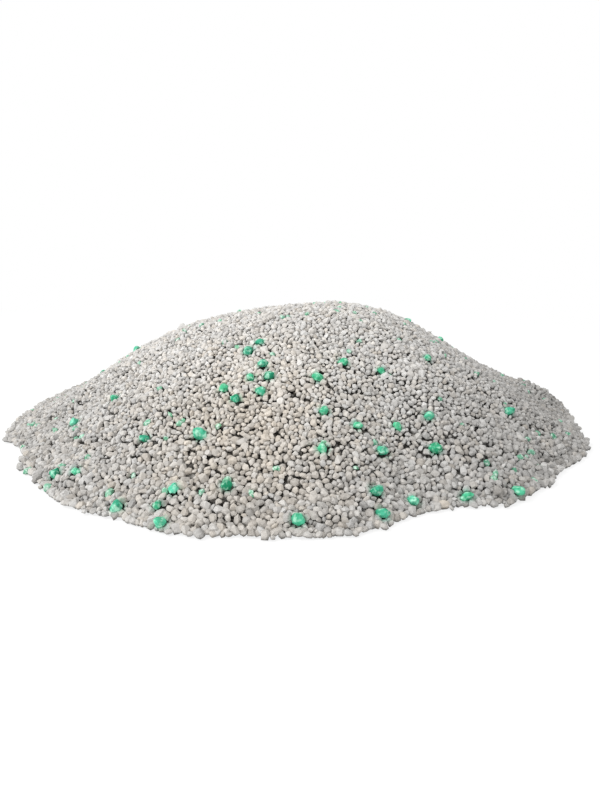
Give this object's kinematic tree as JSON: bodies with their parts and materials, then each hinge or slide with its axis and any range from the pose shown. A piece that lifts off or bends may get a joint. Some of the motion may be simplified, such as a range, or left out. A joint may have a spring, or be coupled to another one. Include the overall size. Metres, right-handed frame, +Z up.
{
  "type": "cat litter heap",
  "caption": "Low round heap of loose clay cat litter: matt grey granules with green ones sprinkled through, a broad crown, hollowed flanks and a ragged toe.",
  "frame": {"origin": "on the floor, under the middle of the heap's footprint", "axes": "+Z up, -Y towards the side that the picture shows, +X to its right"},
  "size_m": [0.2564, 0.2509, 0.0551],
  "materials": {
    "grey_clay": "matte",
    "pale_clay": "matte",
    "green_clay": "matte"
  },
  "bodies": {
    "root": {"litter_heap": "grey_clay", "green_granule_01": "green_clay", "green_granule_02": "green_clay", "green_granule_03": "green_clay", "green_granule_04": "green_clay", "green_granule_05": "green_clay", "green_granule_06": "green_clay", "green_granule_07": "green_clay", "green_granule_08": "green_clay", "green_granule_09": "green_clay", "green_granule_10": "green_clay", "green_granule_11": "green_clay", "green_granule_12": "green_clay", "green_granule_13": "green_clay", "green_granule_14": "green_clay", "green_granule_15": "green_clay", "green_granule_16": "green_clay", "green_granule_17": "green_clay", "green_granule_18": "green_clay", "green_granule_19": "green_clay", "green_granule_20": "green_clay", "green_granule_21": "green_clay", "green_granule_22": "green_clay", "green_granule_23": "green_clay", "green_granule_24": "green_clay", "green_granule_25": "green_clay", "green_granule_26": "green_clay", "green_granule_27": "green_clay", "green_granule_28": "green_clay", "green_granule_29": "green_clay", "green_granule_30": "green_clay", "green_granule_31": "green_clay", "green_granule_32": "green_clay", "green_granule_33": "green_clay", "green_granule_34": "green_clay", "green_granule_35": "green_clay", "green_granule_36": "green_clay", "green_granule_37": "green_clay", "green_granule_38": "green_clay", "green_granule_39": "green_clay", "green_granule_40": "green_clay", "green_granule_41": "green_clay", "green_granule_42": "green_clay", "green_granule_43": "green_clay", "green_granule_44": "green_clay", "green_granule_45": "green_clay", "green_granule_46": "green_clay", "green_granule_47": "green_clay", "green_granule_48": "green_clay", "green_granule_49": "green_clay", "grey_toe_granule_01": "pale_clay", "grey_toe_granule_02": "pale_clay", "grey_toe_granule_03": "pale_clay", "grey_toe_granule_04": "pale_clay", "grey_toe_granule_05": "pale_clay", "grey_toe_granule_06": "pale_clay", "grey_toe_granule_07": "pale_clay", "grey_toe_granule_08": "pale_clay", "grey_toe_granule_09": "pale_clay", "grey_toe_granule_10": "pale_clay"}
  },
  "joints": []
}
